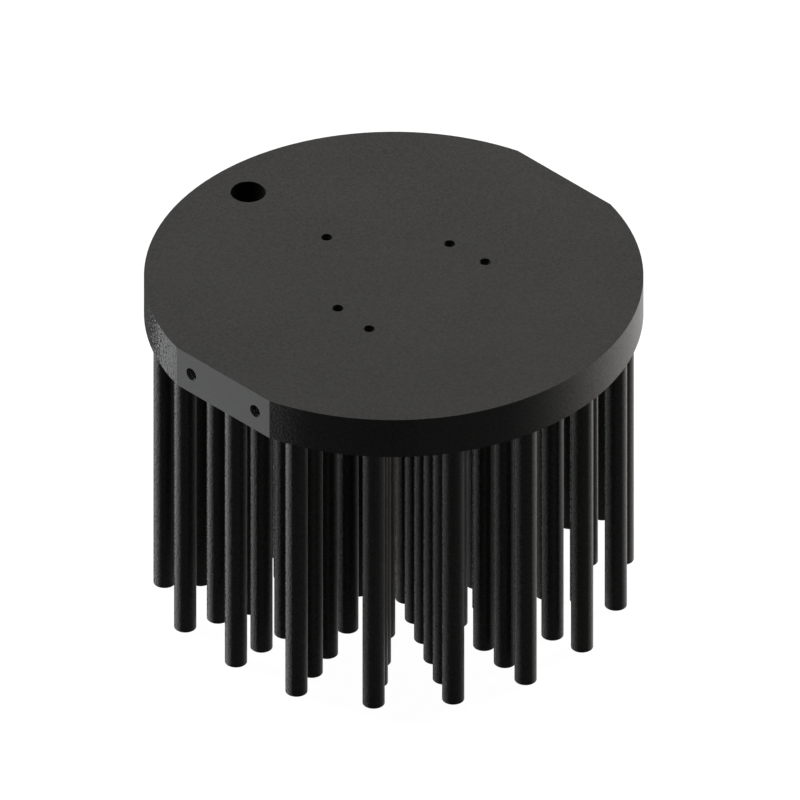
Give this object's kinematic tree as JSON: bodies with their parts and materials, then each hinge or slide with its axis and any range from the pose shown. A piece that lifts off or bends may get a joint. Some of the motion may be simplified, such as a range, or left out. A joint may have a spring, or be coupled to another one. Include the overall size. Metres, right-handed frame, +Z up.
{
  "type": "pin fin heat sink",
  "caption": "Black anodised round heat sink: a thick disc with two flats that an LED module is screwed to, carried on straight round cooling pins set on radial spokes.",
  "frame": {"origin": "centre of the footprint, in the plane of the pin ends", "axes": "+Z up from the pin ends to the LED face; +X along the two flats, away from the wire hole; the flats face +Y and -Y, and the one with screw holes is -Y"},
  "size_m": [0.086, 0.083, 0.062],
  "materials": {
    "black_anodised": "fine matt black anodised surface over forged aluminium"
  },
  "bodies": {
    "root": {"heat_sink": "black_anodised"}
  },
  "joints": []
}
